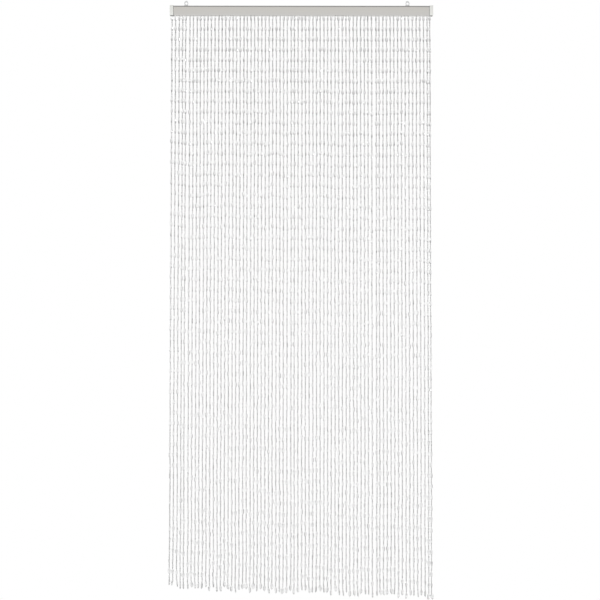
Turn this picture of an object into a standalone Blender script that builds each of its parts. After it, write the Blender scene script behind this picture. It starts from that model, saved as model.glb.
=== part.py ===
"""Bead curtain: seventy-two strings of clear beads on a slim aluminium hanging rail.

Metres, +Z up. The front of the curtain faces -Y and its back, the wall side, faces +Y.
The origin is midway between the rail's ends, on the line through the holes of its two hanging
loops. Each string is one four-sided strand of the beads' mean thickness, with its first and last
bead as bulges, and all the strings are fused into one narrow strip that lies in the rail.
"""
import math
import random

import bmesh
import bpy
from mathutils import Matrix, Vector

# The whole curtain
CURTAIN_WIDTH = 0.900          # over the end caps
CURTAIN_DROP = 1.988           # from the rail's top to the ends of the strings, on average
GAP = 0.0003                   # between pieces that touch

# The rail's section
RAIL_TOP = -0.0090             # its top face, below the loops' holes
RAIL_HEIGHT = 0.033
RAIL_DEPTH = 0.016
RAIL_WALL = 0.0013
SHOULDER_HEIGHT = 0.0042       # the sloping strip along the top of the front face
SHOULDER_INSET = 0.0014
CORNER_RADIUS = 0.0007
TOP_SLOT = 0.0034              # the slot that the loops' necks pass through
TOP_CHANNEL_WIDTH = 0.0104
TOP_CHANNEL_DEPTH = 0.0031
STRING_SLOT = 0.0086           # the slot that the strings hang out of

# The end caps
CAP_LENGTH = 0.0123
CAP_WALL = 0.0010
CAP_END_WALL = 0.0020
CAP_ROUNDING = 0.0007

# The hanging loops
LOOP_PLACES = {"hanging_loop_left": -0.3942, "hanging_loop_right": 0.3630}
LOOP_HOLE_RADIUS = 0.0042
LOOP_RING_RADIUS = 0.0067
LOOP_RISE = 1.4                # how much taller than round the ring is above its hole
LOOP_THICKNESS = 0.0026
LOOP_FOOT_SPREAD = 0.0146      # across the flared base that stands on the rail
LOOP_NECK_WIDTH = 0.0100
LOOP_FOOT_WIDTH = 0.0124
LOOP_FOOT_DEPTH = 0.0070
LOOP_FLARE_ANGLE = 30          # degrees below level where the ring runs into its base
LOOP_ARC_STEPS = 20
LOOP_HOLE_SIDES = 24

# The strings
STRING_COUNT = 72
FIRST_STRING = -0.4423
LAST_STRING = 0.4390
LAST_SPACING = 0.0088          # the two strings at the right end hang closer together
SPACING_GROWTH = 0.021         # the gaps are this share narrower at the left, wider at the right
PLACE_JITTER = 0.0004
PUSHED_ASIDE = {4: -0.0020, 33: 0.0014, 56: 0.0030}  # strings that hang out of the even row
END_JITTER = 0.0083            # how far a string ends above or below its neighbours
END_TREND = 0.0165             # the row of ends is this much high at the left, low at the right
STRIP_LENGTH = 0.8920
STRIP_HEIGHT = 0.0030
LONG_BEAD_LENGTH = 0.020
LONG_BEAD_RADIUS = 0.0039
THREAD_RADIUS = 0.0013
STRAND_RADIUS = 0.0028         # of the beads, long and small, taken together
UPPER_SECTIONS = 4             # along the quiet upper part of a strand
LOWER_SECTIONS = 6             # along its lower end, which sways more
LOWER_STARTS = 0.86            # the share of the strand above its lower end

# How the strings sway off the plumb line
SWAY_SEED = 7
SWAY_TOP = 0.0005
SWAY_BOTTOM = 0.0014
SWAY_STARTS = 0.45             # the share of the string below which it sways more
SWAY_WAVES = (1.10, 0.43, 0.19)
WAVE_DRIFT = 0.9               # how far the waves shift from one string to the next, in radians

RAIL_BOTTOM = RAIL_TOP - RAIL_HEIGHT
STRING_LENGTH = CURTAIN_DROP - RAIL_HEIGHT


def clear_scene():
    """Remove every object of the scene that the script starts in."""
    for thing in list(bpy.data.objects):
        bpy.data.objects.remove(thing, do_unlink=True)


def principled(name, colour, roughness, metallic=0.0, transmission=0.0):
    """A plain Principled material."""
    material = bpy.data.materials.new(name)
    material.use_nodes = True
    shader = material.node_tree.nodes["Principled BSDF"]
    shader.inputs["Base Color"].default_value = (*colour, 1.0)
    shader.inputs["Roughness"].default_value = roughness
    shader.inputs["Metallic"].default_value = metallic
    shader.inputs["Transmission Weight"].default_value = transmission
    return material


def new_object(name, bm, material):
    """Turn a bmesh into an object with faces that point outwards."""
    bmesh.ops.recalc_face_normals(bm, faces=bm.faces)
    mesh = bpy.data.meshes.new(name)
    bm.to_mesh(mesh)
    bm.free()
    thing = bpy.data.objects.new(name, mesh)
    bpy.context.collection.objects.link(thing)
    if material:
        thing.data.materials.append(material)
    return thing


def box(bm, low, high):
    """Add a closed box between two corners."""
    middle = (Vector(low) + Vector(high)) / 2
    size = Vector(high) - Vector(low)
    place = Matrix.Translation(middle) @ Matrix.Diagonal((*size, 1.0))
    return bmesh.ops.create_cube(bm, size=1.0, matrix=place)


def draw_out(bm, outline, along):
    """Make a closed solid by drawing a flat outline out along a vector."""
    section = bm.faces.new([bm.verts.new(point) for point in outline])
    drawn = bmesh.ops.extrude_face_region(bm, geom=[section])["geom"]
    verts = [item for item in drawn if isinstance(item, bmesh.types.BMVert)]
    bmesh.ops.translate(bm, verts=verts, vec=along)


def boolean(thing, other, operation):
    """Join another object to this one, or cut it out; the other stays as a hidden guide."""
    other.hide_render = True
    other.display_type = "WIRE"
    modifier = thing.modifiers.new(other.name, "BOOLEAN")
    modifier.operation = operation
    modifier.object = other


def arc(centre, radius, start, end, steps):
    """Points along an arc in a plane, with its angles in degrees."""
    angles = [math.radians(start + (end - start) * step / steps) for step in range(steps + 1)]
    return [(centre[0] + radius * math.cos(a), centre[1] + radius * math.sin(a)) for a in angles]


def rail_outline():
    """The rail's section as (y, z) points, once round from the top slot's front lip."""
    half = RAIL_DEPTH / 2
    inside = half - RAIL_WALL
    slot = TOP_SLOT / 2
    channel = TOP_CHANNEL_WIDTH / 2
    lip_under = RAIL_TOP - RAIL_WALL
    channel_floor = lip_under - TOP_CHANNEL_DEPTH
    web_under = channel_floor - RAIL_WALL
    foot = RAIL_BOTTOM + RAIL_WALL
    string_slot = STRING_SLOT / 2
    r = CORNER_RADIUS
    shoulder_top = -half + SHOULDER_INSET

    outline = [(-slot, RAIL_TOP), (shoulder_top + r, RAIL_TOP)]
    outline += [(shoulder_top, RAIL_TOP - r), (-half, RAIL_TOP - SHOULDER_HEIGHT)]
    outline += arc((-half + r, RAIL_BOTTOM + r), r, 180, 270, 3)
    outline += [(-string_slot, RAIL_BOTTOM), (-string_slot, foot), (-inside, foot)]
    outline += [(-inside, web_under), (inside, web_under)]
    outline += [(inside, foot), (string_slot, foot), (string_slot, RAIL_BOTTOM)]
    outline += arc((half - r, RAIL_BOTTOM + r), r, 270, 360, 3)
    outline += arc((half - r, RAIL_TOP - r), r, 0, 90, 3)
    outline += [(slot, RAIL_TOP), (slot, lip_under), (channel, lip_under), (channel, channel_floor)]
    outline += [(-channel, channel_floor), (-channel, lip_under), (-slot, lip_under)]
    return outline


def make_rail(material):
    """The extruded rail: its section drawn out between the two end caps' end walls."""
    half_length = CURTAIN_WIDTH / 2 - CAP_END_WALL - GAP
    bm = bmesh.new()
    draw_out(bm, [(-half_length, y, z) for y, z in rail_outline()], (2 * half_length, 0, 0))
    new_object("rail", bm, material)


def make_end_cap(name, side, material):
    """A moulded sleeve over one end of the rail, open underneath; side is -1 left, 1 right."""
    outer_y = RAIL_DEPTH / 2 + GAP + CAP_WALL
    inner_y = RAIL_DEPTH / 2 + GAP
    outer_end = side * CURTAIN_WIDTH / 2
    inner_end = outer_end - side * CAP_END_WALL
    mouth = outer_end - side * CAP_LENGTH
    top = RAIL_TOP + GAP + CAP_WALL
    past = CAP_LENGTH              # how far the cutter runs out of the sleeve

    bm = bmesh.new()
    box(bm, (min(outer_end, mouth), -outer_y, RAIL_BOTTOM), (max(outer_end, mouth), outer_y, top))
    rounded = [edge for edge in bm.edges if any(abs(v.co.x - outer_end) < GAP for v in edge.verts)]
    bmesh.ops.bevel(bm, geom=rounded, offset=CAP_ROUNDING, segments=3, profile=0.5, affect="EDGES")
    cap = new_object(name, bm, material)

    bm = bmesh.new()
    low_x, high_x = sorted((inner_end, mouth - side * past))
    box(bm, (low_x, -inner_y, RAIL_BOTTOM - past), (high_x, inner_y, RAIL_TOP + GAP))
    boolean(cap, new_object(name + "_hollow", bm, None), "DIFFERENCE")


def make_hanging_loop(name, place, material):
    """A moulded eyelet: a ring on a flared base, and a neck and a foot inside the rail."""
    base = RAIL_TOP + GAP
    half_thick = LOOP_THICKNESS / 2
    ring = arc((0, 0), LOOP_RING_RADIUS, -LOOP_FLARE_ANGLE, 180 + LOOP_FLARE_ANGLE, LOOP_ARC_STEPS)
    outline = [(x, z * LOOP_RISE if z > 0 else z) for x, z in ring]
    outline += [(-LOOP_FOOT_SPREAD / 2, base), (LOOP_FOOT_SPREAD / 2, base)]

    bm = bmesh.new()
    draw_out(bm, [(place + x, -half_thick, z) for x, z in outline], (0, LOOP_THICKNESS, 0))
    loop = new_object(name, bm, material)

    bm = bmesh.new()
    stand = Matrix.Translation((place, 0, 0)) @ Matrix.Rotation(math.radians(90), 4, "X")
    bmesh.ops.create_cone(bm, cap_ends=True, segments=LOOP_HOLE_SIDES, radius1=LOOP_HOLE_RADIUS,
                          radius2=LOOP_HOLE_RADIUS, depth=4 * LOOP_THICKNESS, matrix=stand)
    boolean(loop, new_object(name + "_hole", bm, None), "DIFFERENCE")

    foot_top = RAIL_TOP - RAIL_WALL - GAP
    foot_bottom = RAIL_TOP - RAIL_WALL - TOP_CHANNEL_DEPTH + GAP
    bm = bmesh.new()
    half_neck = LOOP_NECK_WIDTH / 2
    box(bm, (place - half_neck, -half_thick, foot_bottom + half_thick),
        (place + half_neck, half_thick, base + half_thick))
    boolean(loop, new_object(name + "_neck", bm, None), "UNION")

    bm = bmesh.new()
    half_foot = LOOP_FOOT_WIDTH / 2
    box(bm, (place - half_foot, -LOOP_FOOT_DEPTH / 2, foot_bottom),
        (place + half_foot, LOOP_FOOT_DEPTH / 2, foot_top))
    boolean(loop, new_object(name + "_foot", bm, None), "UNION")


def string_places(rng):
    """Where the strings hang along the rail, left to right."""
    reach = LAST_STRING - LAST_SPACING - FIRST_STRING
    shares = [index / (STRING_COUNT - 2) for index in range(STRING_COUNT - 1)]
    places = [FIRST_STRING + reach * (share - SPACING_GROWTH * share * (1 - share))
              for share in shares]
    places = [place + rng.uniform(-PLACE_JITTER, PLACE_JITTER) for place in places]
    for index, aside in PUSHED_ASIDE.items():
        places[index] += aside
    return places + [LAST_STRING]


def string_lengths(rng):
    """How long the strings are below the rail: uneven, and a little longer to the right."""
    middle = (STRING_COUNT - 1) / 2
    return [STRING_LENGTH + END_TREND * (index / middle - 1) + rng.uniform(-END_JITTER, END_JITTER)
            for index in range(STRING_COUNT)]


def wave_starts(rng):
    """The starting angles of each string's waves, drifting along the row of strings."""
    starts = []
    angles = [rng.uniform(0, math.tau) for _ in range(2 * len(SWAY_WAVES))]
    for _ in range(STRING_COUNT - 1):
        angles = [angle + rng.uniform(-WAVE_DRIFT, WAVE_DRIFT) for angle in angles]
        starts.append(angles)
    return starts + [angles]       # the last string hangs alongside its neighbour


def sway(drop, angles):
    """How far off plumb a string is, across and in depth, at a drop below the rail."""
    low = max(0.0, drop / STRING_LENGTH - SWAY_STARTS) / (1 - SWAY_STARTS)
    reach = SWAY_TOP + (SWAY_BOTTOM - SWAY_TOP) * low ** 2
    turns = [math.tau * drop / wave for wave in SWAY_WAVES]
    across = sum(math.sin(turn + angle) for turn, angle in zip(turns, angles[:len(turns)]))
    deep = sum(math.sin(turn + angle) for turn, angle in zip(turns, angles[len(turns):]))
    return reach * across / len(turns), reach * deep / len(turns)


def strand_sections(length):
    """The strand's sections as (drop, radius) pairs, from the rail's underside to its tip."""
    bead = LONG_BEAD_LENGTH
    upper_starts = 1.5 * bead
    lower_starts = LOWER_STARTS * length
    lower_ends = length - 1.5 * bead
    upper_step = (lower_starts - upper_starts) / UPPER_SECTIONS
    lower_step = (lower_ends - lower_starts) / (LOWER_SECTIONS - 1)
    sections = [(0.0, THREAD_RADIUS), (bead / 2, LONG_BEAD_RADIUS), (bead, THREAD_RADIUS)]
    sections += [(upper_starts + upper_step * k, STRAND_RADIUS) for k in range(UPPER_SECTIONS)]
    sections += [(lower_starts + lower_step * k, STRAND_RADIUS) for k in range(LOWER_SECTIONS)]
    sections += [(length - bead, THREAD_RADIUS), (length - bead / 2, LONG_BEAD_RADIUS),
                 (length, THREAD_RADIUS)]
    return sections


def make_strip(bm, places):
    """The strip in the rail's lower channel; returns each strand's root face in its underside."""
    half = RAIL_DEPTH / 2 - RAIL_WALL - GAP
    under = RAIL_BOTTOM + RAIL_WALL + GAP
    top = under + STRIP_HEIGHT
    ends = STRIP_LENGTH / 2
    bounds = [-ends] + [(a + b) / 2 for a, b in zip(places, places[1:])] + [ends]
    front = [bm.verts.new((x, -half, under)) for x in bounds]
    back = [bm.verts.new((x, half, under)) for x in bounds]
    top_front = [bm.verts.new((x, -half, top)) for x in (-ends, ends)]
    top_back = [bm.verts.new((x, half, top)) for x in (-ends, ends)]
    bm.faces.new(front + top_front[::-1])
    bm.faces.new(back[::-1] + top_back)
    bm.faces.new((front[0], top_front[0], top_back[0], back[0]))
    bm.faces.new((front[-1], back[-1], top_back[1], top_front[1]))
    bm.faces.new((top_front[0], top_front[1], top_back[1], top_back[0]))

    roots = []
    for index, place in enumerate(places):
        r = THREAD_RADIUS
        right, rear, left, near = (bm.verts.new((place + x, y, under))
                                   for x, y in ((r, 0), (0, r), (-r, 0), (0, -r)))
        front_left, front_right = front[index:index + 2]
        back_left, back_right = back[index:index + 2]
        for corners in ((front_left, near, front_right), (near, right, front_right),
                        (right, back_right, front_right), (right, rear, back_right),
                        (rear, back_left, back_right), (rear, left, back_left),
                        (left, front_left, back_left), (left, near, front_left)):
            bm.faces.new(corners)
        roots.append(bm.faces.new((right, near, left, rear)))
    return roots


def drop_strand(bm, root, place, angles, length):
    """Draw one strand down from its root face, section by section."""
    face = root
    for drop, radius in strand_sections(length):
        across, deep = sway(drop, angles)
        hung = min(1.0, drop / LONG_BEAD_LENGTH)
        centre = Vector((place + across * hung, deep * hung, RAIL_BOTTOM - drop))
        face = bmesh.ops.extrude_discrete_faces(bm, faces=[face])["faces"][0]
        old_centre = face.calc_center_median()
        old_radius = (face.verts[0].co - old_centre).length
        for vert in face.verts:
            vert.co = centre + (vert.co - old_centre) * (radius / old_radius)


def make_bead_strings(material):
    """The strip and the strings that hang from it, one solid."""
    rng = random.Random(SWAY_SEED)
    places = string_places(rng)
    starts = wave_starts(rng)
    lengths = string_lengths(rng)
    bm = bmesh.new()
    roots = make_strip(bm, places)
    for root, place, angles, length in zip(roots, places, starts, lengths):
        drop_strand(bm, root, place, angles, length)
    new_object("bead_strings", bm, material)


def build():
    """Make every piece of the curtain."""
    clear_scene()
    aluminium = principled("rail_aluminium", (0.60, 0.58, 0.56), 0.35, metallic=1.0)
    cap_plastic = principled("cap_plastic", (0.80, 0.81, 0.77), 0.45)
    loop_plastic = principled("loop_plastic", (0.78, 0.80, 0.79), 0.30)
    clear_beads = principled("clear_beads", (0.88, 0.88, 0.88), 0.08, transmission=0.9)

    make_rail(aluminium)
    make_end_cap("end_cap_left", -1, cap_plastic)
    make_end_cap("end_cap_right", 1, cap_plastic)
    for name, place in LOOP_PLACES.items():
        make_hanging_loop(name, place, loop_plastic)
    make_bead_strings(clear_beads)


build()
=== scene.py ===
"""The looks of the bead curtain: clear faceted beads on their threads, under an aluminium rail.

Metres, +Z up, the front faces -Y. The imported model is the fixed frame, and the strings here hang
along the same lines as the strands of its node bead_strings.
"""
import math
import random

import bmesh
import bpy
from mathutils import Matrix, Vector


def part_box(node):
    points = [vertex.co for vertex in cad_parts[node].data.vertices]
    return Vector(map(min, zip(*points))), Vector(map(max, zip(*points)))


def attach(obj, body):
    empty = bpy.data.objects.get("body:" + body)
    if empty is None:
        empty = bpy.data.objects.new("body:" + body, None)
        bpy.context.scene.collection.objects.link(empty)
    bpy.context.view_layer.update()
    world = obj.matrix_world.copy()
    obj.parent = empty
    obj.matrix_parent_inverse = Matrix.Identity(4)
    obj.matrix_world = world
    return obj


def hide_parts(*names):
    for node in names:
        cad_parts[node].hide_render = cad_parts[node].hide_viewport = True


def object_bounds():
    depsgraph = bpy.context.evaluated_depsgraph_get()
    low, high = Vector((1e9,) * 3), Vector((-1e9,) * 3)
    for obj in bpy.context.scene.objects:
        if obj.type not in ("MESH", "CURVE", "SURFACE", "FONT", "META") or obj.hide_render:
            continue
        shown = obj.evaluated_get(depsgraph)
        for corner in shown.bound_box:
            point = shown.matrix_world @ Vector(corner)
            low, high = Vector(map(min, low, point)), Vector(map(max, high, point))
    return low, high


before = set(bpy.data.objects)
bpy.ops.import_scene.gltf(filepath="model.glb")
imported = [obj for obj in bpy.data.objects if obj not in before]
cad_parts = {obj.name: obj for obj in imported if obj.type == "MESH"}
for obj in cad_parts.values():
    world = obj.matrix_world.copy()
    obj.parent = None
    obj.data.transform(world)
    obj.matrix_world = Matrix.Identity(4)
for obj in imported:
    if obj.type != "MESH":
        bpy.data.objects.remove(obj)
CAD_BOX = [[float(value) for value in corner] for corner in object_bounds()]
BODY = "root"

# The strings, as in the model's own source
RAIL_BOTTOM = float(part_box("rail")[0][2])
CURTAIN_DROP = 1.988           # from the rail's top to the ends of the strings, on average
RAIL_HEIGHT = 0.033
STRING_COUNT = 72
FIRST_STRING = -0.4423
LAST_STRING = 0.4390
LAST_SPACING = 0.0088          # the two strings at the right end hang closer together
SPACING_GROWTH = 0.021         # the gaps are narrower at the left and wider at the right
PLACE_JITTER = 0.0004
PUSHED_ASIDE = {4: -0.0020, 33: 0.0014, 56: 0.0030}  # strings that hang out of the even row
END_JITTER = 0.0083
END_TREND = 0.0165
SWAY_SEED = 7
SWAY_TOP = 0.0005
SWAY_BOTTOM = 0.0014
SWAY_STARTS = 0.45             # the share of the string below which it sways more
SWAY_WAVES = (1.10, 0.43, 0.19)
WAVE_DRIFT = 0.9
STRING_LENGTH = CURTAIN_DROP - RAIL_HEIGHT

# How the first and last beads lean, which the strands leave out
LEAN_SEED = 3
TOP_LEAN = 0.0014              # how far aside a thread leaves the rail
FIRST_BEAD_RISE = 0.0008       # how far the first beads reach into the rail's slot
END_LEAN = 0.0034              # how far aside a string's last bead kicks
LINE_STEP = 0.030              # between points of a string's line

# The beads
LONG_BEAD_LENGTH = 0.0194
LONG_BEAD_WIDTH = 0.0088       # a flat oval across, so it looks wide or narrow by how it has turned
LONG_BEAD_THICKNESS = 0.0052
SMALL_BEAD_LENGTH = 0.0072
SMALL_BEAD_WIDTH = 0.0051      # round across
BEAD_END_WIDTH = 0.0024        # round the mouth of a bead's hole
BEAD_SIDES = 8
LONG_BEAD_BANDS = 5
SMALL_BEAD_BANDS = 3
LONG_BEAD_FULLNESS = 2.2       # 2 is an ellipse, more is a barrel
SMALL_BEAD_FULLNESS = 1.8
LONG_BEADS = 55                # on each string, with two small beads in each gap between them
BEADS_IN_REPEAT = 3.0          # a long bead and the two small ones after it
BEAD_WANDER = 0.0042           # how far the beads wander along a string, half way down
SECOND_WANDER = 0.8            # the share of that in their second, shorter wave
BEAD_SIZE_SPREAD = 0.05
BEAD_LEAN = math.radians(4.0)
LAST_BEAD_GROWTH = 0.18        # how much wider the last bead of a string is
LONG_BEAD_PAINTED_SHADE = 0.095        # painted shade: how much the thickest part of a bead is greyed, on average
SMALL_BEAD_PAINTED_SHADE = 0.175
PALEST_BEAD = 0.35             # the share of that painted shade that the palest bead gets
BEAD_TONE_SPREAD = 1.3         # how much more of it the greyest bead gets
STRINGS_IN_PIECE = 12
SEED_STEP = 10                 # between the seeds of two pieces, for each string

# The thread, and the strip that it hangs from
THREAD_RADIUS = 0.00045
THREAD_SIDES = 5
KNOT_RADIUS = 0.0011
KNOT_DROP = 0.7                # how far below the last bead a knot's middle hangs, in its radii
STRIP_LENGTH = 0.8920
STRIP_HEIGHT = 0.0030
STRIP_WALL_GAP = 0.0016        # the rail's wall and the strip's clearance from it
STRIP_BEVEL = 0.0005

# Rounding of the moulded pieces
CAP_BEVEL = 0.00035
LOOP_BEVEL = 0.0007
MERGE_DISTANCE = 0.00002
FLAT_ANGLE = math.radians(1)   # faces that meet at less than this are joined
SHARP_ANGLE = math.radians(32)

# The rail's colours, with its painted shade and painted light, and where they change
RAIL_UPPER = (0.665, 0.642, 0.598, 1.0)
RAIL_LOWER = (0.665, 0.655, 0.634, 1.0)
# painted light: this colour makes the rail's top strip, front and back, paler
RAIL_SHOULDER_LIGHT = (0.98, 0.965, 0.955, 1.0)
# painted shade: this colour darkens the rail beside each cap
RAIL_SEAM_SHADE = (0.24, 0.24, 0.23, 1.0)
CAP_LENGTH = 0.0123
SEAM_SHADE_WIDTH = 0.0015            # painted shade, a dark line on the rail where it runs into a cap
SHOULDER_FOOT = 0.0042         # how far below the rail's top its sloping shoulder, and the painted light on it, ends
RAIL_DUST = 0.18
RAIL_RELIEF = (0.12, 0.0001)   # how strongly its drawn lines stand out, and their depth

# The moulded plastics: how rough they are, and how much rougher at their marks
PLASTIC_IOR = 1.50
CAP_COLOUR = (0.85, 0.855, 0.82, 1.0)
CAP_ROUGHNESS = 0.38
CAP_SPECKLE = 0.16
LOOP_COLOUR = (0.71, 0.72, 0.72, 1.0)
LOOP_ROUGHNESS = 0.22
LOOP_SPECKLE = 0.12
PLASTIC_DUST = 0.22
PLASTIC_MARK_SCALE = 240.0
PLASTIC_RELIEF = (0.15, 0.0002)
MARKS = 0.03                   # how strongly marks show on the rail and the plastics

# The acrylic and the fibre
ACRYLIC_IOR = 1.49
ACRYLIC_FLOW_SCALE = 420.0     # of the faint waves in the beads' surface
ACRYLIC_ROUGHNESS = 0.02
ACRYLIC_SPECKLE = 0.06
ACRYLIC_RELIEF = (0.10, 0.0003)
THREAD_SHADES = (0.62, 0.84)   # of the dark and of the pale plies
STRIP_SHADES = (0.86, 0.94)
FIBRE_WARMTH = 0.01            # how much less blue the fibre is
FIBRE_ROUGHNESS = 0.75
FIBRE_RELIEF = (0.5, 0.0002)
PLY_SLANT = math.radians(35)
PLY_SCALE = 480.0
PLY_DISTORTION = 0.6

# The camera, at the photograph's viewing angle
CAMERA_AZIMUTH = math.radians(0.0)
CAMERA_ELEVATION = math.radians(-2.2)
CAMERA_ROLL = math.radians(0.05)
CAMERA_DISTANCE = 4.0
CAMERA_TARGET = (-0.0041, 0.0, -1.0151)
CAMERA_LENS = 70.79
SENSOR_WIDTH = 36.0

# The floor
FLOOR_HEIGHT = -2.10
FLOOR_RADIUS = 7.0
FLOOR_SIDES = 96
FLOOR_COLOUR = (0.85, 0.85, 0.85, 1.0)
FLOOR_ROUGHNESS = 0.9
WHITE = (1.0, 1.0, 1.0, 1.0)

# The surroundings as light. A height here is a direction's Z: -1 straight down, 1 straight up
FRONT_LIGHT = 1.05             # the brightness towards the front and the back
SIDE_LIGHT = 1.14              # and to the sides, at the height where they are brightest
SIDE_HEIGHT = -0.01            # that height
SIDE_DIMMING = 11.0            # how fast the sides dim above and below it
SIDE_LEAST = 0.14              # the dimmest that they get
LIGHT_FALLOFF = 3.0            # how fast front and back give way to the sides
OVERHEAD_DIMMING = 1.02        # over 1: the light ends 8 degrees short of straight above
LOW_LIGHT = 1.25               # the brightness from below
LOW_LIGHT_STARTS = -0.25       # the heights between which that takes over
LOW_LIGHT_FULL = -0.60

# The soft square lights: name, place, size and power
LIGHTS = (
    ("key_light", (-3.4, -1.6, 0.9), 1.4, 30.0),
    ("fill_light", (3.4, -1.8, -0.2), 1.8, 18.0),
)


# --- node helpers ---

def add(tree, kind, inputs=None, **settings):
    """Add a node, with its settings, and its inputs as values or as sockets to link."""
    made = tree.nodes.new(kind)
    for name, value in settings.items():
        setattr(made, name, value)
    for name, value in (inputs or {}).items():
        socket = made.inputs[name]
        if isinstance(value, bpy.types.NodeSocket):
            tree.links.new(value, socket)
        else:
            socket.default_value = value
    return made


def calc(tree, operation, *terms):
    """Add a Math node and return its output."""
    return add(tree, "ShaderNodeMath", dict(enumerate(terms)), operation=operation).outputs[0]


def new_group(name, kind, inputs, outputs):
    """Make a node group with named inputs and outputs; returns it with its two end nodes."""
    tree = bpy.data.node_groups.new(name, kind)
    for label, socket_type, value in inputs:
        socket = tree.interface.new_socket(label, in_out="INPUT", socket_type=socket_type)
        if value is not None:
            socket.default_value = value
    for label, socket_type in outputs:
        tree.interface.new_socket(label, in_out="OUTPUT", socket_type=socket_type)
    return tree, tree.nodes.new("NodeGroupInput"), tree.nodes.new("NodeGroupOutput")


def finished_by(thing, tree, values):
    """Run a geometry tree on an object and keep what it makes as the object's plain mesh."""
    modifier = thing.modifiers.new(tree.name, "NODES")
    modifier.node_group = tree
    for item in tree.interface.items_tree:
        if item.item_type == "SOCKET" and item.in_out == "INPUT" and item.name in values:
            modifier[item.identifier] = values[item.name]
    depsgraph = bpy.context.evaluated_depsgraph_get()
    made = bpy.data.meshes.new_from_object(
        thing.evaluated_get(depsgraph), preserve_all_data_layers=True, depsgraph=depsgraph)
    thing.modifiers.remove(modifier)
    guide = thing.data
    thing.data = made
    made.name = thing.name
    bpy.data.meshes.remove(guide)
    return thing


def new_piece(name, mesh):
    """Put a mesh into the scene as an object at the origin."""
    piece = bpy.data.objects.new(name, mesh)
    bpy.context.scene.collection.objects.link(piece)
    return piece


# --- where the strings hang ---

def string_places(rng):
    """Where across the curtain each string hangs, left to right."""
    reach = LAST_STRING - LAST_SPACING - FIRST_STRING
    shares = [index / (STRING_COUNT - 2) for index in range(STRING_COUNT - 1)]
    places = [FIRST_STRING + reach * (share - SPACING_GROWTH * share * (1 - share))
              for share in shares]
    places = [place + rng.uniform(-PLACE_JITTER, PLACE_JITTER) for place in places]
    for index, aside in PUSHED_ASIDE.items():
        places[index] += aside
    return places + [LAST_STRING]


def wave_starts(rng):
    """The angles at which each string's waves start, which drift from string to string."""
    starts = []
    angles = [rng.uniform(0, math.tau) for _ in range(2 * len(SWAY_WAVES))]
    for _ in range(STRING_COUNT - 1):
        angles = [angle + rng.uniform(-WAVE_DRIFT, WAVE_DRIFT) for angle in angles]
        starts.append(angles)
    return starts + [angles]


def string_lengths(rng):
    """How long each string is, uneven and longer to the right."""
    middle = (STRING_COUNT - 1) / 2
    return [STRING_LENGTH + END_TREND * (index / middle - 1) + rng.uniform(-END_JITTER, END_JITTER)
            for index in range(STRING_COUNT)]


def sway(drop, angles):
    """How far off plumb a string is, across and in depth, at a drop below the rail."""
    low = max(0.0, drop / STRING_LENGTH - SWAY_STARTS) / (1 - SWAY_STARTS)
    reach = SWAY_TOP + (SWAY_BOTTOM - SWAY_TOP) * low ** 2
    turns = [math.tau * drop / wave for wave in SWAY_WAVES]
    across = sum(math.sin(turn + angle) for turn, angle in zip(turns, angles[:len(turns)]))
    deep = sum(math.sin(turn + angle) for turn, angle in zip(turns, angles[len(turns):]))
    return reach * across / len(turns), reach * deep / len(turns)


def string_line(place, angles, length, top_lean, end_lean):
    """The points of one string's line, from the rail's underside to the end of its last bead."""
    bead = LONG_BEAD_LENGTH
    steps = round((length - 2 * bead) / LINE_STEP)
    drops = [bead + (length - 2 * bead) * step / steps for step in range(steps + 1)]
    drops = [-FIRST_BEAD_RISE] + drops + [length]
    line = []
    for drop in drops:
        across, deep = sway(drop, angles)
        hung = min(1.0, max(0.0, drop / bead))
        kicked = max(0.0, (drop - (length - bead)) / bead)
        line.append(Vector((
            place + across * hung + top_lean[0] * (1 - hung) + end_lean[0] * kicked,
            deep * hung + top_lean[1] * (1 - hung) + end_lean[1] * kicked,
            RAIL_BOTTOM - drop)))
    return line


def string_lines():
    """Every string's line, left to right."""
    rng = random.Random(SWAY_SEED)
    places, starts, lengths = string_places(rng), wave_starts(rng), string_lengths(rng)
    rng = random.Random(LEAN_SEED)
    lines = []
    for place, angles, length in zip(places, starts, lengths):
        top_lean = [rng.uniform(-TOP_LEAN, TOP_LEAN) for _ in range(2)]
        end_lean = [rng.uniform(-END_LEAN, END_LEAN) for _ in range(2)]
        lines.append(string_line(place, angles, length, top_lean, end_lean))
    return lines


def line_mesh(name, lines):
    """A mesh of edges alone that holds the lines as separate chains."""
    points, edges = [], []
    for line in lines:
        edges += [(len(points) + index, len(points) + index + 1) for index in range(len(line) - 1)]
        points += line
    mesh = bpy.data.meshes.new(name)
    mesh.from_pydata(points, edges, [])
    return mesh


# --- the beads ---

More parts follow.
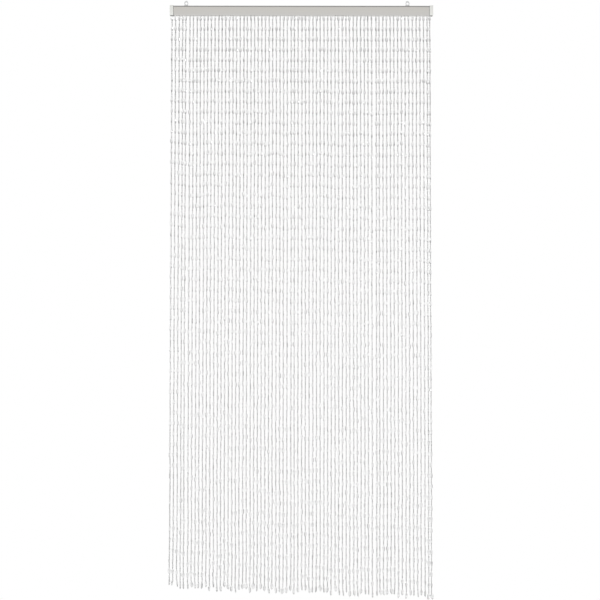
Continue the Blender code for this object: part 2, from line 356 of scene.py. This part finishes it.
def bead_form(tree, length, width, thickness, sides, bands, end_width, fullness, depth):
    """Nodes for one faceted bead that stands along Z, round its own centre.

    Its stored attribute says how much painted shade greys it, which is most where it is thickest.
    """
    barrel = add(tree, "GeometryNodeMeshCylinder", {
        "Vertices": sides, "Side Segments": bands, "Radius": 1.0, "Depth": 2.0}, fill_type="NGON")
    place = add(tree, "ShaderNodeSeparateXYZ",
                {"Vector": add(tree, "GeometryNodeInputPosition").outputs[0]})
    along = calc(tree, "ABSOLUTE", place.outputs["Z"])
    bulge = calc(tree, "SUBTRACT", 1.0, calc(tree, "POWER", along, fullness))
    bulge = calc(tree, "SQRT", calc(tree, "MAXIMUM", bulge, 0.0))
    halves = {}
    for axis, across in (("X", width), ("Y", thickness)):
        growth = calc(tree, "SUBTRACT", across, end_width)
        half = calc(tree, "MULTIPLY", calc(tree, "MULTIPLY_ADD", bulge, growth, end_width), 0.5)
        halves[axis] = calc(tree, "MULTIPLY", place.outputs[axis], half)
    halves["Z"] = calc(tree, "MULTIPLY", place.outputs["Z"], calc(tree, "MULTIPLY", length, 0.5))
    shaped = add(tree, "ShaderNodeCombineXYZ", halves)
    # painted shade, most where the bead bulges
    noted = add(tree, "GeometryNodeStoreNamedAttribute", {
        "Geometry": barrel.outputs["Mesh"], "Name": "bead_depth",
        "Value": calc(tree, "MULTIPLY", bulge, depth)}, data_type="FLOAT", domain="POINT")
    return add(tree, "GeometryNodeSetPosition",
               {"Geometry": noted.outputs[0], "Position": shaped.outputs[0]}).outputs["Geometry"]


def random_value(tree, low, high, seed, offset, identity=None):
    """A random number for each point, between low and high; each offset is a draw of its own."""
    inputs = {"Seed": calc(tree, "ADD", seed, float(offset))}
    made = add(tree, "FunctionNodeRandomValue", inputs, data_type="FLOAT")
    made.inputs[2].default_value = low
    made.inputs[3].default_value = high
    if identity is not None:
        tree.links.new(identity, made.inputs["ID"])
    return made.outputs[1]


def bead_tree():
    """The tree that threads long and small beads onto lines, three to a repeat."""
    tree, given, result = new_group("threaded_beads", "GeometryNodeTree", (
        ("Lines", "NodeSocketGeometry", None),
        ("Long Bead Length", "NodeSocketFloat", LONG_BEAD_LENGTH),
        ("Long Bead Width", "NodeSocketFloat", LONG_BEAD_WIDTH),
        ("Long Bead Thickness", "NodeSocketFloat", LONG_BEAD_THICKNESS),
        ("Small Bead Length", "NodeSocketFloat", SMALL_BEAD_LENGTH),
        ("Small Bead Width", "NodeSocketFloat", SMALL_BEAD_WIDTH),
        ("End Width", "NodeSocketFloat", BEAD_END_WIDTH),
        ("Long Bead Fullness", "NodeSocketFloat", LONG_BEAD_FULLNESS),
        ("Small Bead Fullness", "NodeSocketFloat", SMALL_BEAD_FULLNESS),
        # the painted shade of the long and of the small beads
        ("Long Bead Depth", "NodeSocketFloat", LONG_BEAD_PAINTED_SHADE),
        ("Small Bead Depth", "NodeSocketFloat", SMALL_BEAD_PAINTED_SHADE),
        ("Long Beads", "NodeSocketInt", LONG_BEADS),
        ("Sides", "NodeSocketInt", BEAD_SIDES),
        ("Wander", "NodeSocketFloat", BEAD_WANDER),
        ("Lean", "NodeSocketFloat", BEAD_LEAN),
        ("Size Spread", "NodeSocketFloat", BEAD_SIZE_SPREAD),
        ("Last Bead Growth", "NodeSocketFloat", LAST_BEAD_GROWTH),
        ("Seed", "NodeSocketInt", 0),
        ("Material", "NodeSocketMaterial", None),
    ), (("Beads", "NodeSocketGeometry"),))
    size = given.outputs
    gaps = calc(tree, "SUBTRACT", size["Long Beads"], 1.0)

    lines = add(tree, "GeometryNodeMeshToCurve", {"Mesh": size["Lines"]}).outputs["Curve"]
    count = calc(tree, "MULTIPLY_ADD", gaps, BEADS_IN_REPEAT, 1.0)
    beads = add(tree, "GeometryNodeResampleCurve", {"Curve": lines, "Count": count}, mode="COUNT")
    number = add(tree, "GeometryNodeSplineParameter").outputs["Index"]
    on_string = add(tree, "GeometryNodeCurveOfPoint").outputs["Curve Index"]
    length = add(tree, "GeometryNodeSplineLength").outputs["Length"]

    # which bead of its repeat a point is, 0 the long one, and how far into the repeat it sits
    middle = calc(tree, "ADD", number, 0.5)
    repeat = calc(tree, "FLOOR", calc(tree, "DIVIDE", middle, BEADS_IN_REPEAT))
    turn = calc(tree, "SUBTRACT", number, calc(tree, "MULTIPLY", repeat, BEADS_IN_REPEAT))
    is_small = calc(tree, "GREATER_THAN", turn, 0.5)
    is_second = calc(tree, "GREATER_THAN", turn, 1.5)
    pitch = calc(tree, "DIVIDE", calc(tree, "SUBTRACT", length, size["Long Bead Length"]), gaps)
    both_small = calc(tree, "MULTIPLY", size["Small Bead Length"], 2.0)
    beyond_long = calc(tree, "SUBTRACT", pitch, size["Long Bead Length"])
    slack = calc(tree, "SUBTRACT", beyond_long, both_small)
    lengths = calc(tree, "ADD", size["Long Bead Length"], size["Small Bead Length"])
    halves = calc(tree, "MULTIPLY", lengths, 0.5)
    to_small = calc(tree, "MULTIPLY_ADD", slack, 1 / BEADS_IN_REPEAT, halves)
    between = calc(tree, "SUBTRACT", pitch, calc(tree, "MULTIPLY", to_small, 2.0))
    into = calc(tree, "MULTIPLY", is_small,
                calc(tree, "ADD", to_small, calc(tree, "MULTIPLY", is_second, between)))
    along = calc(tree, "ADD", calc(tree, "MULTIPLY", repeat, pitch), into)

    # the beads of each string wander up or down between its two ends
    share = calc(tree, "DIVIDE", along, calc(tree, "MULTIPLY", gaps, pitch))
    once = calc(tree, "SINE", calc(tree, "MULTIPLY", share, math.pi))
    twice = calc(tree, "SINE", calc(tree, "MULTIPLY", share, math.tau))
    reach = random_value(tree, -1.0, 1.0, size["Seed"], 1, on_string)
    first = calc(tree, "MULTIPLY", once, reach)
    reach = random_value(tree, -SECOND_WANDER, SECOND_WANDER, size["Seed"], 2, on_string)
    second = calc(tree, "MULTIPLY", twice, reach)
    wander = calc(tree, "MULTIPLY", calc(tree, "ADD", first, second), size["Wander"])
    along = calc(tree, "ADD", calc(tree, "ADD", along, wander),
                 calc(tree, "MULTIPLY", size["Long Bead Length"], 0.5))

    spot = add(tree, "GeometryNodeSampleCurve",
               {"Curves": lines, "Length": along, "Curve Index": on_string},
               mode="LENGTH", use_all_curves=False)
    noted = add(tree, "GeometryNodeCaptureAttribute",
                {"Geometry": beads.outputs["Curve"]}, domain="POINT")
    for kind, label, source in (("VECTOR", "Place", spot.outputs["Position"]),
                                ("VECTOR", "Heading", spot.outputs["Tangent"]),
                                ("FLOAT", "Small", is_small), ("FLOAT", "Number", number)):
        noted.capture_items.new(kind, label)
        tree.links.new(source, noted.inputs[label])
    moved = add(tree, "GeometryNodeSetPosition", {
        "Geometry": noted.outputs["Geometry"],
        "Position": noted.outputs["Place"]}).outputs["Geometry"]

    upright = add(tree, "FunctionNodeAlignRotationToVector",
                  {"Vector": noted.outputs["Heading"]}, axis="Z")
    unevenness = add(tree, "ShaderNodeCombineXYZ", {
        "X": calc(tree, "MULTIPLY", size["Lean"], random_value(tree, -1.0, 1.0, size["Seed"], 3)),
        "Y": calc(tree, "MULTIPLY", size["Lean"], random_value(tree, -1.0, 1.0, size["Seed"], 4)),
        "Z": random_value(tree, 0.0, math.tau, size["Seed"], 5)})
    lean = add(tree, "FunctionNodeEulerToRotation", {"Euler": unevenness.outputs[0]})
    turned = add(tree, "FunctionNodeRotateRotation",
                 {"Rotation": upright.outputs[0], "Rotate By": lean.outputs[0]},
                 rotation_space="LOCAL").outputs[0]
    girth = calc(tree, "MULTIPLY_ADD", size["Size Spread"],
                 random_value(tree, -1.0, 1.0, size["Seed"], 6), 1.0)
    before_last = calc(tree, "SUBTRACT", count, 1.5)
    is_last = calc(tree, "GREATER_THAN", noted.outputs["Number"], before_last)
    girth = calc(tree, "MULTIPLY", girth,
                 calc(tree, "MULTIPLY_ADD", is_last, size["Last Bead Growth"], 1.0))
    scale = add(tree, "ShaderNodeCombineXYZ", {"X": girth, "Y": girth, "Z": 1.0}).outputs[0]

    threaded = add(tree, "GeometryNodeJoinGeometry")
    for kind, thickness, bands, chosen_by in (
            ("Small Bead", "Small Bead Width", SMALL_BEAD_BANDS, "GREATER_THAN"),
            ("Long Bead", "Long Bead Thickness", LONG_BEAD_BANDS, "LESS_THAN")):
        form = bead_form(tree, size[f"{kind} Length"], size[f"{kind} Width"], size[thickness],
                         size["Sides"], bands, size["End Width"],
                         size[f"{kind} Fullness"], size[f"{kind} Depth"])
        chosen = calc(tree, chosen_by, noted.outputs["Small"], 0.5)
        placed = add(tree, "GeometryNodeInstanceOnPoints", {
            "Points": moved, "Selection": chosen, "Instance": form,
            "Rotation": turned, "Scale": scale})
        tree.links.new(placed.outputs["Instances"], threaded.inputs[0])
    tone = random_value(tree, 0.0, 1.0, size["Seed"], 7)
    toned = add(tree, "GeometryNodeStoreNamedAttribute", {
        "Geometry": threaded.outputs[0], "Name": "bead_tone", "Value": tone},
        data_type="FLOAT", domain="INSTANCE")
    real = add(tree, "GeometryNodeRealizeInstances", {"Geometry": toned.outputs[0]})
    covered = add(tree, "GeometryNodeSetMaterial",
                  {"Geometry": real.outputs[0], "Material": size["Material"]})
    tree.links.new(covered.outputs[0], result.inputs["Beads"])
    return tree


def make_beads(lines, material):
    """The beads of all strings, a dozen strings to a piece."""
    tree = bead_tree()
    pieces = []
    for start in range(0, STRING_COUNT, STRINGS_IN_PIECE):
        name = f"bead_strings_{start // STRINGS_IN_PIECE + 1}"
        piece = new_piece(name, line_mesh(name, lines[start:start + STRINGS_IN_PIECE]))
        pieces.append(finished_by(piece, tree, {"Seed": SEED_STEP * start, "Material": material}))
    return pieces


# --- the thread and the strip that it hangs from ---

def thread_tree():
    """The tree that draws a thread along each line, with a knot at both ends."""
    tree, given, result = new_group("knotted_threads", "GeometryNodeTree", (
        ("Lines", "NodeSocketGeometry", None),
        ("Thread Radius", "NodeSocketFloat", THREAD_RADIUS),
        ("Sides", "NodeSocketInt", THREAD_SIDES),
        ("Knot Radius", "NodeSocketFloat", KNOT_RADIUS),
        ("Material", "NodeSocketMaterial", None),
    ), (("Threads", "NodeSocketGeometry"),))
    size = given.outputs
    lines = add(tree, "GeometryNodeMeshToCurve", {"Mesh": size["Lines"]}).outputs["Curve"]
    ring = add(tree, "GeometryNodeCurvePrimitiveCircle",
               {"Resolution": size["Sides"], "Radius": size["Thread Radius"]}, mode="RADIUS")
    threads = add(tree, "GeometryNodeCurveToMesh",
                  {"Curve": lines, "Profile Curve": ring.outputs["Curve"], "Fill Caps": True})
    ends = add(tree, "GeometryNodeCurveEndpointSelection", {"Start Size": 1, "End Size": 1})
    knot = add(tree, "GeometryNodeMeshIcoSphere",
               {"Radius": size["Knot Radius"], "Subdivisions": 2})
    knots = add(tree, "GeometryNodeInstanceOnPoints", {
        "Points": lines, "Selection": ends.outputs[0], "Instance": knot.outputs["Mesh"]})
    joined = add(tree, "GeometryNodeJoinGeometry")
    tree.links.new(threads.outputs["Mesh"], joined.inputs[0])
    tree.links.new(knots.outputs["Instances"], joined.inputs[0])
    real = add(tree, "GeometryNodeRealizeInstances", {"Geometry": joined.outputs[0]})
    smooth = add(tree, "GeometryNodeSetShadeSmooth", {"Geometry": real.outputs[0]})
    covered = add(tree, "GeometryNodeSetMaterial",
                  {"Geometry": smooth.outputs[0], "Material": size["Material"]})
    tree.links.new(covered.outputs[0], result.inputs["Threads"])
    return tree


def make_threads(lines, material):
    """The threads, each from a knot under the strip to a knot under its last bead."""
    knotted = []
    for line in lines:
        above = line[0] + Vector((0, 0, KNOT_RADIUS))
        below = line[-1] + (line[-1] - line[-2]).normalized() * KNOT_RADIUS * KNOT_DROP
        knotted.append([above] + line + [below])
    piece = new_piece("bead_threads", line_mesh("bead_threads", knotted))
    return finished_by(piece, thread_tree(), {"Material": material})


def bevelled(bm, width, segments=2):
    """Round a mesh's sharp edges."""
    sharp = [edge for edge in bm.edges if edge.is_manifold and edge.calc_face_angle() > SHARP_ANGLE]
    bmesh.ops.bevel(bm, geom=sharp, offset=width, segments=segments, profile=0.5, affect="EDGES",
                    clamp_overlap=True)


def make_strip(material):
    """The strip that lies in the rail's lower channel and carries the threads."""
    rail_low, rail_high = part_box("rail")
    half = (rail_high[1] - rail_low[1]) / 2 - STRIP_WALL_GAP
    under = RAIL_BOTTOM + STRIP_WALL_GAP
    bm = bmesh.new()
    size = Matrix.Diagonal((STRIP_LENGTH, 2 * half, STRIP_HEIGHT, 1.0))
    middle = Matrix.Translation((0, 0, under + STRIP_HEIGHT / 2))
    bmesh.ops.create_cube(bm, size=1.0, matrix=middle @ size)
    bevelled(bm, STRIP_BEVEL)
    mesh = bpy.data.meshes.new("string_strip")
    bm.to_mesh(mesh)
    bm.free()
    mesh.materials.append(material)
    return new_piece("string_strip", mesh)


# --- the moulded pieces ---

def moulded_copy(node, name, bevel, material):
    """A copy of a model's node with rounded edges."""
    bm = bmesh.new()
    bm.from_mesh(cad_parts[node].data)
    bmesh.ops.remove_doubles(bm, verts=bm.verts, dist=MERGE_DISTANCE)
    bmesh.ops.dissolve_limit(bm, angle_limit=FLAT_ANGLE, verts=bm.verts, edges=bm.edges)
    bevelled(bm, bevel, segments=3)
    bmesh.ops.recalc_face_normals(bm, faces=bm.faces)
    mesh = bpy.data.meshes.new(name)
    bm.to_mesh(mesh)
    bm.free()
    mesh.materials.clear()
    mesh.materials.append(material)
    mesh.shade_smooth()
    mesh.set_sharp_from_angle(angle=SHARP_ANGLE)
    return new_piece(name, mesh)


# --- materials ---

def blended(tree, share, first, second):
    """Mix two colours, given as values or as sockets, by a share of the second."""
    return add(tree, "ShaderNodeMix", {0: share, 6: first, 7: second}, data_type="RGBA").outputs[2]


def grain_group():
    """Fine drawn lines along X, as an extruded and brushed rail has."""
    tree, given, result = new_group("drawn_grain", "ShaderNodeTree", (
        ("Lines Per Metre", "NodeSocketFloat", 2600.0),
        ("Streak Length", "NodeSocketFloat", 0.08),
        ("Roughness", "NodeSocketFloat", 0.32),
        ("Roughness Spread", "NodeSocketFloat", 0.10),
    ), (("Grain", "NodeSocketFloat"), ("Roughness", "NodeSocketFloat")))
    place = add(tree, "ShaderNodeSeparateXYZ",
                {"Vector": add(tree, "ShaderNodeTexCoord").outputs["Object"]})
    across = given.outputs["Lines Per Metre"]
    drawn = add(tree, "ShaderNodeCombineXYZ", {
        "X": calc(tree, "DIVIDE", place.outputs["X"], given.outputs["Streak Length"]),
        "Y": calc(tree, "MULTIPLY", place.outputs["Y"], across),
        "Z": calc(tree, "MULTIPLY", place.outputs["Z"], across)})
    noise = add(tree, "ShaderNodeTexNoise",
                {"Vector": drawn.outputs[0], "Scale": 1.0, "Detail": 3.0})
    centred = calc(tree, "SUBTRACT", noise.outputs["Fac"], 0.5)
    rough = calc(tree, "MULTIPLY_ADD", centred,
                 given.outputs["Roughness Spread"], given.outputs["Roughness"])
    tree.links.new(noise.outputs["Fac"], result.inputs["Grain"])
    tree.links.new(rough, result.inputs["Roughness"])
    return tree


def handling_group():
    """Dust that settles on what faces up, and faint marks all over."""
    tree, given, result = new_group("dust_and_marks", "ShaderNodeTree", (
        ("Colour", "NodeSocketColor", (0.8, 0.8, 0.8, 1.0)),
        ("Dust Colour", "NodeSocketColor", (0.62, 0.60, 0.56, 1.0)),
        ("Dust", "NodeSocketFloat", 0.25),
        ("Mark Scale", "NodeSocketFloat", 90.0),
        ("Marks", "NodeSocketFloat", 0.05),
    ), (("Colour", "NodeSocketColor"), ("Marks", "NodeSocketFloat")))
    noise = add(tree, "ShaderNodeTexNoise", {
        "Vector": add(tree, "ShaderNodeTexCoord").outputs["Object"],
        "Scale": given.outputs["Mark Scale"], "Detail": 4.0, "Roughness": 0.6})
    facing = add(tree, "ShaderNodeSeparateXYZ",
                 {"Vector": add(tree, "ShaderNodeNewGeometry").outputs["Normal"]}).outputs["Z"]
    settled = calc(tree, "MULTIPLY", calc(tree, "MAXIMUM", facing, 0.0), noise.outputs["Fac"])
    dusted = calc(tree, "MULTIPLY", settled, given.outputs["Dust"])
    marked = calc(tree, "MULTIPLY", noise.outputs["Fac"], given.outputs["Marks"])
    cover = calc(tree, "MINIMUM", calc(tree, "ADD", dusted, marked), 1.0)
    covered = blended(tree, cover, given.outputs["Colour"], given.outputs["Dust Colour"])
    tree.links.new(covered, result.inputs["Colour"])
    tree.links.new(noise.outputs["Fac"], result.inputs["Marks"])
    return tree


def finish(name, values):
    """A material with its Principled shader, whose plain inputs are set here."""
    material = bpy.data.materials.new(name)
    material.use_nodes = True
    tree = material.node_tree
    shader = tree.nodes["Principled BSDF"]
    for socket, value in values.items():
        shader.inputs[socket].default_value = value
    return material, tree, shader


def place_group(tree, group, values):
    """Place a shared group in a material with the material's own values."""
    placed = add(tree, "ShaderNodeGroup", node_tree=group)
    for name, value in values.items():
        placed.inputs[name].default_value = value
    return placed


def raised(tree, shader, height, relief):
    """Feed a height into the shader's normal, by the relief's strength and depth."""
    strength, depth = relief
    bump = add(tree, "ShaderNodeBump", {"Height": height, "Strength": strength, "Distance": depth})
    tree.links.new(bump.outputs["Normal"], shader.inputs["Normal"])


def rail_tone_group():
    """The rail's colour top to bottom, painted shade by its caps, painted light on its shoulder."""
    rail_low, rail_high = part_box("rail")
    mouth = float(CAD_BOX[1][0]) - CAP_LENGTH
    tree, given, result = new_group("rail_tone", "ShaderNodeTree", (
        ("Upper Colour", "NodeSocketColor", RAIL_UPPER),
        ("Lower Colour", "NodeSocketColor", RAIL_LOWER),
        ("Shoulder Light Colour", "NodeSocketColor", RAIL_SHOULDER_LIGHT),
        ("Seam Shade Colour", "NodeSocketColor", RAIL_SEAM_SHADE),
        ("Seam Shade Width", "NodeSocketFloat", SEAM_SHADE_WIDTH),
    ), (("Colour", "NodeSocketColor"),))
    place = add(tree, "ShaderNodeSeparateXYZ",
                {"Vector": add(tree, "ShaderNodeTexCoord").outputs["Object"]})
    height = add(tree, "ShaderNodeMapRange", {
        "Value": place.outputs["Z"],
        "From Min": rail_low[2], "From Max": rail_high[2]}).outputs["Result"]
    # painted light: paler above the shoulder's foot, by height alone, so on the back as well
    shoulder = calc(tree, "GREATER_THAN", place.outputs["Z"], rail_high[2] - SHOULDER_FOOT)
    # painted shade: the rail is dark from just before each cap's mouth outwards
    inward = calc(tree, "SUBTRACT", mouth, calc(tree, "ABSOLUTE", place.outputs["X"]))
    seam_shade = calc(tree, "LESS_THAN", inward, given.outputs["Seam Shade Width"])
    colour = blended(tree, height, given.outputs["Lower Colour"], given.outputs["Upper Colour"])
    colour = blended(tree, shoulder, colour, given.outputs["Shoulder Light Colour"])
    colour = blended(tree, seam_shade, colour, given.outputs["Seam Shade Colour"])
    tree.links.new(colour, result.inputs["Colour"])
    return tree


def brushed_aluminium(grain, handling):
    """The rail's satin metal, in its own tones and drawn along its length."""
    material, tree, shader = finish("brushed_aluminium", {"Metallic": 1.0})
    lines = place_group(tree, grain, {})
    tone = place_group(tree, rail_tone_group(), {})
    marks = place_group(tree, handling, {"Dust": RAIL_DUST, "Marks": MARKS})
    tree.links.new(tone.outputs["Colour"], marks.inputs["Colour"])
    tree.links.new(marks.outputs["Colour"], shader.inputs["Base Color"])
    tree.links.new(lines.outputs["Roughness"], shader.inputs["Roughness"])
    raised(tree, shader, lines.outputs["Grain"], RAIL_RELIEF)
    return material


def moulded_plastic(name, handling, colour, roughness, speckle):
    """Plain plastic that is rougher where it is marked."""
    material, tree, shader = finish(name, {"IOR": PLASTIC_IOR, "Subsurface Weight": 0.0})
    marks = place_group(tree, handling, {
        "Colour": colour, "Dust": PLASTIC_DUST, "Marks": MARKS, "Mark Scale": PLASTIC_MARK_SCALE})
    tree.links.new(marks.outputs["Colour"], shader.inputs["Base Color"])
    rough = calc(tree, "MULTIPLY_ADD", marks.outputs["Marks"], speckle, roughness)
    tree.links.new(rough, shader.inputs["Roughness"])
    raised(tree, shader, marks.outputs["Marks"], PLASTIC_RELIEF)
    return material


def clear_acrylic():
    """Clear acrylic, painted shade where a bead is thick, each bead greyer or paler than the next.
    """
    material, tree, shader = finish(
        "clear_acrylic", {"IOR": ACRYLIC_IOR, "Transmission Weight": 1.0})
    tone = add(tree, "ShaderNodeAttribute", attribute_name="bead_tone").outputs["Fac"]
    # painted shade: greyer where a bead is thick, more on some beads than on others
    depth = add(tree, "ShaderNodeAttribute", attribute_name="bead_depth").outputs["Fac"]
    share = calc(tree, "MULTIPLY_ADD", tone, BEAD_TONE_SPREAD, PALEST_BEAD)
    left = calc(tree, "SUBTRACT", 1.0, calc(tree, "MULTIPLY", depth, share))
    painted_shade_colour = add(tree, "ShaderNodeCombineColor", {"Red": left, "Green": left, "Blue": left})
    tree.links.new(painted_shade_colour.outputs[0], shader.inputs["Base Color"])
    place = add(tree, "ShaderNodeTexCoord").outputs["Object"]
    flow = add(tree, "ShaderNodeTexNoise", {
        "Vector": place, "Scale": ACRYLIC_FLOW_SCALE, "Detail": 1.0}).outputs["Fac"]
    rough = calc(tree, "MULTIPLY_ADD", flow, ACRYLIC_SPECKLE, ACRYLIC_ROUGHNESS)
    tree.links.new(rough, shader.inputs["Roughness"])
    raised(tree, shader, flow, ACRYLIC_RELIEF)
    return material


def twisted_fibre(name, shades):
    """Pale twisted fibre, from its dark plies to its pale ones."""
    material, tree, shader = finish(name, {"Roughness": FIBRE_ROUGHNESS})
    place = add(tree, "ShaderNodeTexCoord").outputs["Object"]
    slanted = add(tree, "ShaderNodeMapping", {"Vector": place, "Rotation": (0, PLY_SLANT, 0)})
    plies = add(tree, "ShaderNodeTexWave", {
        "Vector": slanted.outputs[0], "Scale": PLY_SCALE,
        "Distortion": PLY_DISTORTION}, bands_direction="Z").outputs["Fac"]
    dark, pale = [(shade, shade, shade - FIBRE_WARMTH, 1.0) for shade in shades]
    tree.links.new(blended(tree, plies, dark, pale), shader.inputs["Base Color"])
    raised(tree, shader, plies, FIBRE_RELIEF)
    return material


# --- camera and studio ---

def make_camera():
    """The camera, in front of the curtain and a little below its middle."""
    data = bpy.data.cameras.new("camera")
    data.lens = CAMERA_LENS
    data.sensor_width = SENSOR_WIDTH
    camera = new_piece("camera", data)
    away = Vector((math.sin(CAMERA_AZIMUTH) * math.cos(CAMERA_ELEVATION),
                   -math.cos(CAMERA_AZIMUTH) * math.cos(CAMERA_ELEVATION),
                   math.sin(CAMERA_ELEVATION)))
    turn = away.to_track_quat("Z", "Y").to_matrix().to_4x4() @ Matrix.Rotation(CAMERA_ROLL, 4, "Z")
    camera.matrix_world = Matrix.Translation(Vector(CAMERA_TARGET) + CAMERA_DISTANCE * away) @ turn
    bpy.context.scene.camera = camera


def make_floor():
    """A plain pale floor below the free ends of the strings."""
    bm = bmesh.new()
    bmesh.ops.create_circle(bm, cap_ends=True, segments=FLOOR_SIDES, radius=FLOOR_RADIUS,
                            matrix=Matrix.Translation((0, 0, FLOOR_HEIGHT)))
    mesh = bpy.data.meshes.new("floor")
    bm.to_mesh(mesh)
    bm.free()
    material, tree, shader = finish(
        "pale_floor", {"Base Color": FLOOR_COLOUR, "Roughness": FLOOR_ROUGHNESS})
    glow = add(tree, "ShaderNodeEmission", {"Color": WHITE, "Strength": 1.0})
    seen = add(tree, "ShaderNodeLightPath").outputs["Is Camera Ray"]
    both = add(tree, "ShaderNodeMixShader", {0: seen, 1: shader.outputs[0], 2: glow.outputs[0]})
    tree.links.new(both.outputs[0], tree.nodes["Material Output"].inputs["Surface"])
    mesh.materials.append(material)
    floor = new_piece("floor", mesh)
    floor.visible_transmission = False
    floor.visible_glossy = False
    floor.visible_diffuse = False


def make_world():
    """White as seen; as light, dark overhead, a bright band at the sides, and bright from below."""
    world = bpy.data.worlds.new("studio")
    bpy.context.scene.world = world
    world.use_nodes = True
    tree = world.node_tree
    tree.nodes.clear()
    heading = add(tree, "ShaderNodeSeparateXYZ",
                  {"Vector": add(tree, "ShaderNodeTexCoord").outputs["Generated"]})
    sideways = calc(tree, "MULTIPLY", heading.outputs["X"], heading.outputs["X"])
    facing = calc(tree, "MAXIMUM", calc(tree, "SUBTRACT", 1.0, sideways), 0.0)
    facing = calc(tree, "POWER", facing, LIGHT_FALLOFF)
    off = calc(tree, "SUBTRACT", heading.outputs["Z"], SIDE_HEIGHT)
    side = calc(tree, "MULTIPLY_ADD", calc(tree, "MULTIPLY", off, off), -SIDE_DIMMING, SIDE_LIGHT)
    side = calc(tree, "MAXIMUM", side, SIDE_LEAST)
    level = calc(tree, "MULTIPLY_ADD", facing, calc(tree, "SUBTRACT", FRONT_LIGHT, side), side)
    upward = calc(tree, "MAXIMUM", heading.outputs["Z"], 0.0)
    upward = calc(tree, "MULTIPLY", upward, upward)
    dimming = calc(tree, "MULTIPLY_ADD", upward, -OVERHEAD_DIMMING, 1.0)
    level = calc(tree, "MULTIPLY", level, dimming)
    low = add(tree, "ShaderNodeMapRange", {
        "Value": heading.outputs["Z"], "From Min": LOW_LIGHT_STARTS, "From Max": LOW_LIGHT_FULL},
        interpolation_type="SMOOTHSTEP").outputs["Result"]
    level = calc(tree, "MULTIPLY_ADD", low, calc(tree, "SUBTRACT", LOW_LIGHT, level), level)
    light = add(tree, "ShaderNodeBackground", {"Color": WHITE, "Strength": level})
    white = add(tree, "ShaderNodeBackground", {"Color": WHITE, "Strength": 1.0})
    seen = add(tree, "ShaderNodeLightPath").outputs["Is Camera Ray"]
    both = add(tree, "ShaderNodeMixShader", {0: seen, 1: light.outputs[0], 2: white.outputs[0]})
    output = add(tree, "ShaderNodeOutputWorld")
    tree.links.new(both.outputs[0], output.inputs["Surface"])


def make_light(name, place, size, power):
    """A soft square light that faces the curtain's middle."""
    data = bpy.data.lights.new(name, "AREA")
    data.size = size
    data.energy = power
    light = new_piece(name, data)
    aim = Vector(place) - Vector(CAMERA_TARGET)
    turn = aim.to_track_quat("Z", "Y").to_matrix().to_4x4()
    light.matrix_world = Matrix.Translation(place) @ turn


def make_studio():
    """The surroundings, the floor and the lights."""
    bpy.context.scene.view_settings.view_transform = "Standard"
    make_world()
    make_floor()
    for name, place, size, power in LIGHTS:
        make_light(name, place, size, power)


# --- the whole scene ---

def main():
    """The camera and studio, then the finishes, then the pieces that take the nodes' places."""
    make_camera()
    make_studio()
    grain, handling = grain_group(), handling_group()
    cap_finish = moulded_plastic("cap_plastic", handling, CAP_COLOUR, CAP_ROUGHNESS, CAP_SPECKLE)
    loop_finish = moulded_plastic(
        "loop_plastic", handling, LOOP_COLOUR, LOOP_ROUGHNESS, LOOP_SPECKLE)
    thread_finish = twisted_fibre("twisted_thread", THREAD_SHADES)
    strip_finish = twisted_fibre("strip_tape", STRIP_SHADES)

    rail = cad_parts["rail"]
    for slot in rail.material_slots:
        slot.material = brushed_aluminium(grain, handling)

    lines = string_lines()
    for piece in make_beads(lines, clear_acrylic()):
        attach(piece, BODY)
        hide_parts("bead_strings")
    for piece in (make_threads(lines, thread_finish), make_strip(strip_finish)):
        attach(piece, BODY)
        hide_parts("bead_strings")
    moulded = (("end_cap", cap_finish, "cap_plastic", CAP_BEVEL),
               ("hanging_loop", loop_finish, "loop_plastic", LOOP_BEVEL))
    for side in ("left", "right"):
        for kind, finish_used, slot, bevel in moulded:
            node = f"{kind}_{side}"
            piece = moulded_copy(node, f"{node}_moulded", bevel, finish_used)
            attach(piece, BODY)
            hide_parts(node)


main()
